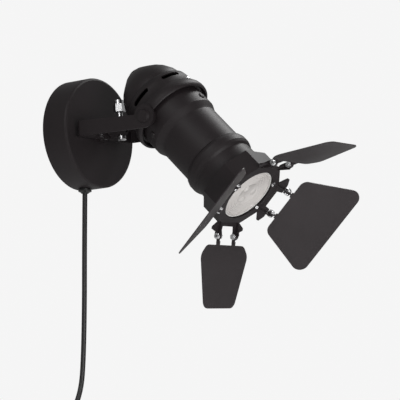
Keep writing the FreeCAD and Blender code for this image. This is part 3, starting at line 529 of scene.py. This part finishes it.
def makeLens():
    # the bulb's front: a raised rim, plain rings and three small domes
    v, head = lensLook, headFrame()
    face = moving(0, 0, v["face"])
    mesh = bmesh.new()
    start, inner = v["radius"] - v["rim"] - 0.0005, v["ringEnd"]
    profile = [(0, -v["thick"]), (v["radius"], -v["thick"]), (v["radius"], -0.0007),
               (v["radius"] - 0.0004, -0.0003), (v["radius"] - v["rim"], -0.0003), (start, v["ringFoot"])]
    width = (start - inner) / v["ringCount"]
    for number in range(v["ringCount"]):
        outer = start + (inner - start) * number / v["ringCount"]
        profile += [(outer - width * 0.3, v["ringTop"]), (outer - width * 0.7, v["ringTop"]),
                    (outer - width, v["ringFoot"])]
    profile += [(inner - 0.0006, v["middle"]), (0, v["middle"])]
    lathe(mesh, profile, head @ face, v["segments"])
    r = v["domeRadius"]
    for number in range(v["domes"]):
        spot = (head @ face @ turning(360 * number / v["domes"] + v["domeTurn"], "Z")
                @ moving(v["domeRing"], 0, v["domeFoot"]))
        lathe(mesh, [(0, -0.0002), (r, -0.0002), (r, 0), (r * 0.93, 0.0003), (r * 0.75, 0.0006),
                     (r * 0.45, 0.0008), (0, 0.0009)], spot, v["domeSegments"])
    piece = finished(mesh, "bulbFrontLens", finishes["lens_pane"], 50)
    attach(piece, "head")
    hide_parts("bulb_lens")


makeRearCap()
makeCapSideScrews()
print("rear cap made")
makeHingeScrews()
makeCapScrews()
makeClips()
makeLens()
print("screws and lens made")

plugLook = {
    "place": (-0.012, -0.013, -0.381), "corners": 40, "squareness": 0.55,
    # height, width and thickness of each section
    "sections": [
        (0, 0.0255, 0.0122), (0.0008, 0.0268, 0.0133), (0.0125, 0.0268, 0.0133), (0.0145, 0.0255, 0.0128),
        (0.0165, 0.0222, 0.0128), (0.0175, 0.0214, 0.0118), (0.0185, 0.0206, 0.0128), (0.0195, 0.0194, 0.0118),
        (0.0205, 0.0186, 0.0126), (0.0215, 0.0172, 0.0116), (0.0225, 0.0162, 0.0122), (0.0245, 0.0128, 0.0104),
        (0.0262, 0.0088, 0.0088), (0.0272, 0.0074, 0.0074), (0.0282, 0.0082, 0.0082), (0.0296, 0.0082, 0.0082),
        (0.0304, 0.0068, 0.0068), (0.0312, 0.0074, 0.0074), (0.0326, 0.0072, 0.0072), (0.0332, 0.0062, 0.0062),
        (0.034, 0.0062, 0.0062)],
}


def makePlug():
    # a moulded flat plug: waisted body, finger ridges and a ribbed sleeve for the cord
    v = plugLook
    x, y, z = v["place"]
    height, width, thick = v["sections"][0]
    mesh = bmesh.new()
    made = bmesh.ops.create_circle(mesh, cap_ends=True, segments=v["corners"], radius=1)
    for vert in made["verts"]:
        # numbers too small to be a real offset are rounding, and the power would enlarge them
        c, s = (0 if abs(part) < 1e-6 else part for part in vert.co.xy)
        vert.co.x = math.copysign(abs(c) ** v["squareness"], c)
        vert.co.y = math.copysign(abs(s) ** v["squareness"], s)
    bmesh.ops.transform(mesh, verts=made["verts"],
                        matrix=moving(x, y, z + height) @ Matrix.Diagonal((width / 2, thick / 2, 1, 1)))
    edges = list(mesh.edges)
    for nextHeight, nextWidth, nextThick in v["sections"][1:]:
        grown = bmesh.ops.extrude_edge_only(mesh, edges=edges)["geom"]
        edges = [part for part in grown if isinstance(part, bmesh.types.BMEdge) and part.is_boundary]
        scale = Matrix.Diagonal((nextWidth / width, nextThick / thick, 1, 1))
        bmesh.ops.transform(mesh, verts=[part for part in grown if isinstance(part, bmesh.types.BMVert)],
                            matrix=moving(x, y, z + nextHeight) @ scale @ moving(-x, -y, -z - height))
        height, width, thick = nextHeight, nextWidth, nextThick
    bmesh.ops.contextual_create(mesh, geom=edges)
    piece = finished(mesh, "plugShell", finishes["black_plastic"], 35)
    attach(piece, "base")
    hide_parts("plug_body")
    return piece


# the front and back bands stop just inside the side ones, so that no two faces lie in one place
tieLook = {
    "place": (0.0285, -0.013, -0.296), "wide": 0.0102, "deep": 0.0186, "wall": 0.0012, "height": 0.008,
    "edge": 0.45, "bandOverlap": 1.96, "bandHeight": 0.99,
}


def makeTie():
    # a flat strap in four bands round the coil
    v = tieLook
    mesh = bmesh.new()
    centre = moving(*v["place"])
    wide, deep, wall, high = v["wide"], v["deep"], v["wall"], v["height"]
    for side in (-1, 1):
        roundedBox(mesh, centre @ moving(side * (wide + wall) / 2, 0, 0),
                   (wall, deep + 2 * wall, high), wall * v["edge"])
        roundedBox(mesh, centre @ moving(0, side * (deep + wall) / 2, 0),
                   (wide + v["bandOverlap"] * wall, wall, high * v["bandHeight"]), wall * v["edge"])
    piece = finished(mesh, "coilTieStrap", finishes["black_plastic"], 35)
    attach(piece, "base")
    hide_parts("coil_tie")
    return piece


cordValues = {
    "diameter": 0.0046, "length": 1.7, "exit": (0, -0.009, -0.054),
    "route": [(0, -0.009, -0.054), (0.0004, -0.009, -0.105), (0.0008, -0.0095, -0.155),
              (-0.001, -0.0105, -0.205), (-0.0036, -0.0105, -0.231), (-0.012, -0.0085, -0.251),
              (-0.0205, -0.0055, -0.267)],
    "coilCentre": (0, -0.013, -0.296), "coilMean": 0.0285, "turnsWide": 2, "layers": 4,
    "pointsPerTurn": 14, "startAngle": 158,
    "tail": [(-0.0285, -0.0208, -0.309), (-0.0215, -0.0175, -0.3225), (-0.0145, -0.0135, -0.3345),
             (-0.012, -0.013, -0.342), (-0.012, -0.013, -0.348)],
    "order": 3, "resolution": 5, "roundness": 5,
}


def coilPoints():
    # two turns a layer, spiralling in and out again, each layer further from the wall
    v = cordValues
    step = v["diameter"]
    turns = v["turnsWide"] * v["layers"]
    points = []
    for number in range(turns * v["pointsPerTurn"] + 1):
        turn = number / v["pointsPerTurn"]
        layer = min(int(turn / v["turnsWide"]), v["layers"] - 1)
        within = turn / v["turnsWide"] - layer
        inward = within if layer % 2 == 0 else 1 - within
        radius = v["coilMean"] + step * (0.5 - inward) * (v["turnsWide"] - 1)
        # the first half turn of a layer climbs from the layer before it
        climb = min(1, max(0, (turn - v["turnsWide"] * layer) * 2)) - 0.5 if layer else 0.5
        depth = (layer - (v["layers"] - 1) / 2 - 0.5 + climb) * step
        angle = math.radians(v["startAngle"] + 360 * turn)
        points.append((v["coilCentre"][0] + radius * math.cos(angle), v["coilCentre"][1] - depth,
                       v["coilCentre"][2] + radius * math.sin(angle)))
    return points


def makeCord():
    # the cord from the canopy's rim through its coil to the plug, as one spline
    data = bpy.data.curves.new("mainsCord", "CURVE")
    data.dimensions = "3D"
    spline = data.splines.new("NURBS")
    points = cordValues["route"] + coilPoints() + cordValues["tail"]
    spline.points.add(len(points) - 1)
    for point, place in zip(spline.points, points):
        point.co = (*place, 1)
    spline.order_u = cordValues["order"]
    spline.use_endpoint_u = True
    spline.resolution_u = cordValues["resolution"]
    data.bevel_depth = cordValues["diameter"] / 2
    data.bevel_resolution = cordValues["roundness"]
    data.use_fill_caps = True
    cord = bpy.data.objects.new("mainsCord", data)
    bpy.context.collection.objects.link(cord)
    data.materials.append(finishes["cord_sheath"])
    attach(cord, "base")
    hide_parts("cord", "cord_coil", "cord_tail")
    makePlug()
    makeTie()


makeCord()
print("cord made")
